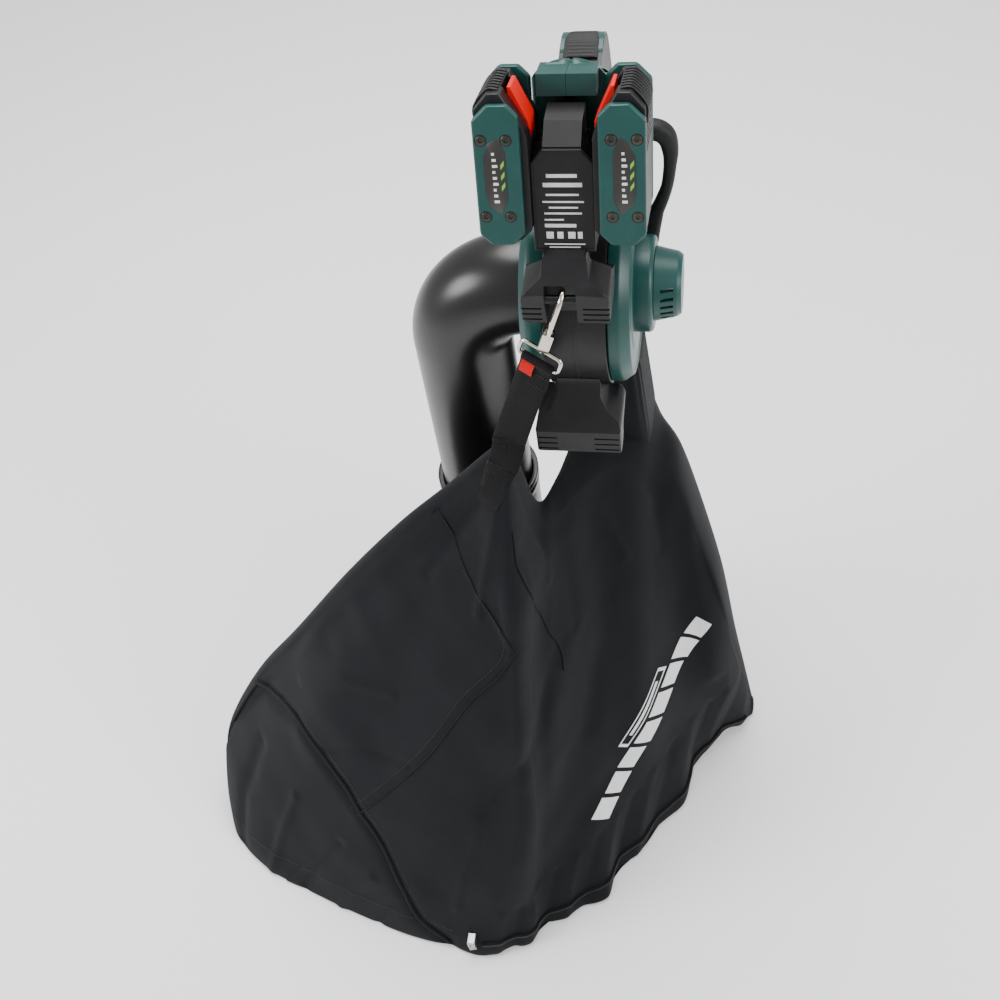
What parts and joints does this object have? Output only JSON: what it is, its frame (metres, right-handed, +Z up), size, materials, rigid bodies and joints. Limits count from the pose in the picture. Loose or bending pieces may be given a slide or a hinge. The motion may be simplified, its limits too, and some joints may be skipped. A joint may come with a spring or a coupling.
{
  "type": "leaf vacuum mulcher",
  "caption": "Cordless leaf vacuum with slide-on battery packs, curved suction tube, shredding fan and a fabric collecting bag on a clip strap.",
  "frame": {"origin": "on the floor, under the centre of the whole object's bounding box", "axes": "+X to the machine's right (motor side), -Y the side of its feet and battery packs, +Z up; the suction tube points straight down"},
  "size_m": [0.654, 0.5695, 0.9275],
  "materials": {
    "green_plastic": "satin moulded dark green",
    "black_plastic": "fine-grained moulded black",
    "tube_plastic": "smooth semi-gloss black",
    "rubber_grip": "textured soft grip",
    "red_plastic": "satin red",
    "steel": "machined",
    "nickel": "bright nickel plate",
    "brass_contacts": "bare",
    "circuit_board": "coated board",
    "bag_fabric": "woven black polyester",
    "webbing": "ribbed black webbing",
    "red_fabric": "woven red"
  },
  "bodies": {
    "machine": {"volute_band": "black_plastic", "left_cover": "green_plastic", "right_cover": "green_plastic", "motor_cap": "green_plastic", "motor_can": "steel", "front_bearing": "steel", "rear_bearing": "steel", "intake_elbow": "tube_plastic", "lower_tube": "tube_plastic", "housing_left": "green_plastic", "housing_right": "green_plastic", "battery_column": "black_plastic", "column_cover": "black_plastic", "terminals_left": "brass_contacts", "terminals_right": "brass_contacts", "controller_board": "circuit_board", "main_handle": "black_plastic", "handle_cap": "green_plastic", "trigger_pin": "steel", "switch_module": "black_plastic", "auxiliary_handle": "rubber_grip", "front_foot": "black_plastic", "rear_foot": "black_plastic", "bag_adaptor": "black_plastic", "bag": "bag_fabric", "zip_tape": "webbing", "zip_slider": "nickel", "hook_eye": "nickel", "strap": "webbing", "strap_tab": "red_fabric"},
    "rotor": {"rotor": "steel", "fan_wheel": "black_plastic", "mulching_blade": "steel", "blade_nut": "steel"},
    "battery_left": {"battery_left_case": "black_plastic", "battery_left_front_plate": "green_plastic", "battery_left_back_plate": "green_plastic"},
    "latch_left": {"battery_left_latch": "red_plastic"},
    "battery_right": {"battery_right_case": "black_plastic", "battery_right_front_plate": "green_plastic", "battery_right_back_plate": "green_plastic"},
    "latch_right": {"battery_right_latch": "red_plastic"},
    "trigger": {"trigger": "red_plastic"},
    "speed_dial": {"speed_dial": "rubber_grip"},
    "snap_hook": {"hook_body": "nickel"},
    "hook_gate": {"hook_gate": "nickel"},
    "zip_pull": {"zip_pull": "nickel"},
    "tube_lock_button": {"tube_lock_button": "black_plastic"}
  },
  "joints": [
    {"name": "rotor_spin", "type": "hinge", "parent": "machine", "child": "rotor", "pos_m": [0.15, 0.12, 0.68], "axis": [1, 0, 0], "continuous": true},
    {"name": "battery_left_slide", "type": "slide", "parent": "machine", "child": "battery_left", "axis": [0, 0.2656, 0.9641], "range_m": [0, 0.125]},
    {"name": "latch_left_press", "type": "slide", "parent": "battery_left", "child": "latch_left", "axis": [-1, 0, 0], "range_m": [0, 0.003], "stiffness_N_per_m": 800, "springref_m": -0.003},
    {"name": "battery_right_slide", "type": "slide", "parent": "machine", "child": "battery_right", "axis": [0, 0.2656, 0.9641], "range_m": [0, 0.125]},
    {"name": "latch_right_press", "type": "slide", "parent": "battery_right", "child": "latch_right", "axis": [1, 0, 0], "range_m": [0, 0.003], "stiffness_N_per_m": 800, "springref_m": -0.003},
    {"name": "trigger_pull", "type": "hinge", "parent": "machine", "child": "trigger", "pos_m": [0.15, 0.256, 0.75], "axis": [1, 0, 0], "range_deg": [0, 10], "stiffness_Nm_per_rad": 0.2, "springref_deg": -5.73},
    {"name": "speed_dial_turn", "type": "hinge", "parent": "machine", "child": "speed_dial", "pos_m": [0.169, 0.253, 0.775], "axis": [1, 0, 0], "range_deg": [0, 270]},
    {"name": "hook_swivel", "type": "hinge", "parent": "machine", "child": "snap_hook", "pos_m": [0.146, 0.007, 0.7645], "axis": [0.3296, 0.0604, 0.9422], "range_deg": [-8, 8]},
    {"name": "hook_gate_open", "type": "hinge", "parent": "snap_hook", "child": "hook_gate", "pos_m": [0.13136, 0.00851, 0.7224], "axis": [0.9441, -0.0211, -0.329], "range_deg": [0, 12], "stiffness_Nm_per_rad": 0.05, "springref_deg": -11.46},
    {"name": "zip_pull_swing", "type": "hinge", "parent": "machine", "child": "zip_pull", "pos_m": [0.019, -0.2816, 0.0274], "axis": [1, 0, 0], "range_deg": [-80, 0]},
    {"name": "tube_lock_press", "type": "slide", "parent": "machine", "child": "tube_lock_button", "axis": [0, 1, 0], "range_m": [0, 0.0015], "stiffness_N_per_m": 800, "springref_m": -0.002}
  ]
}
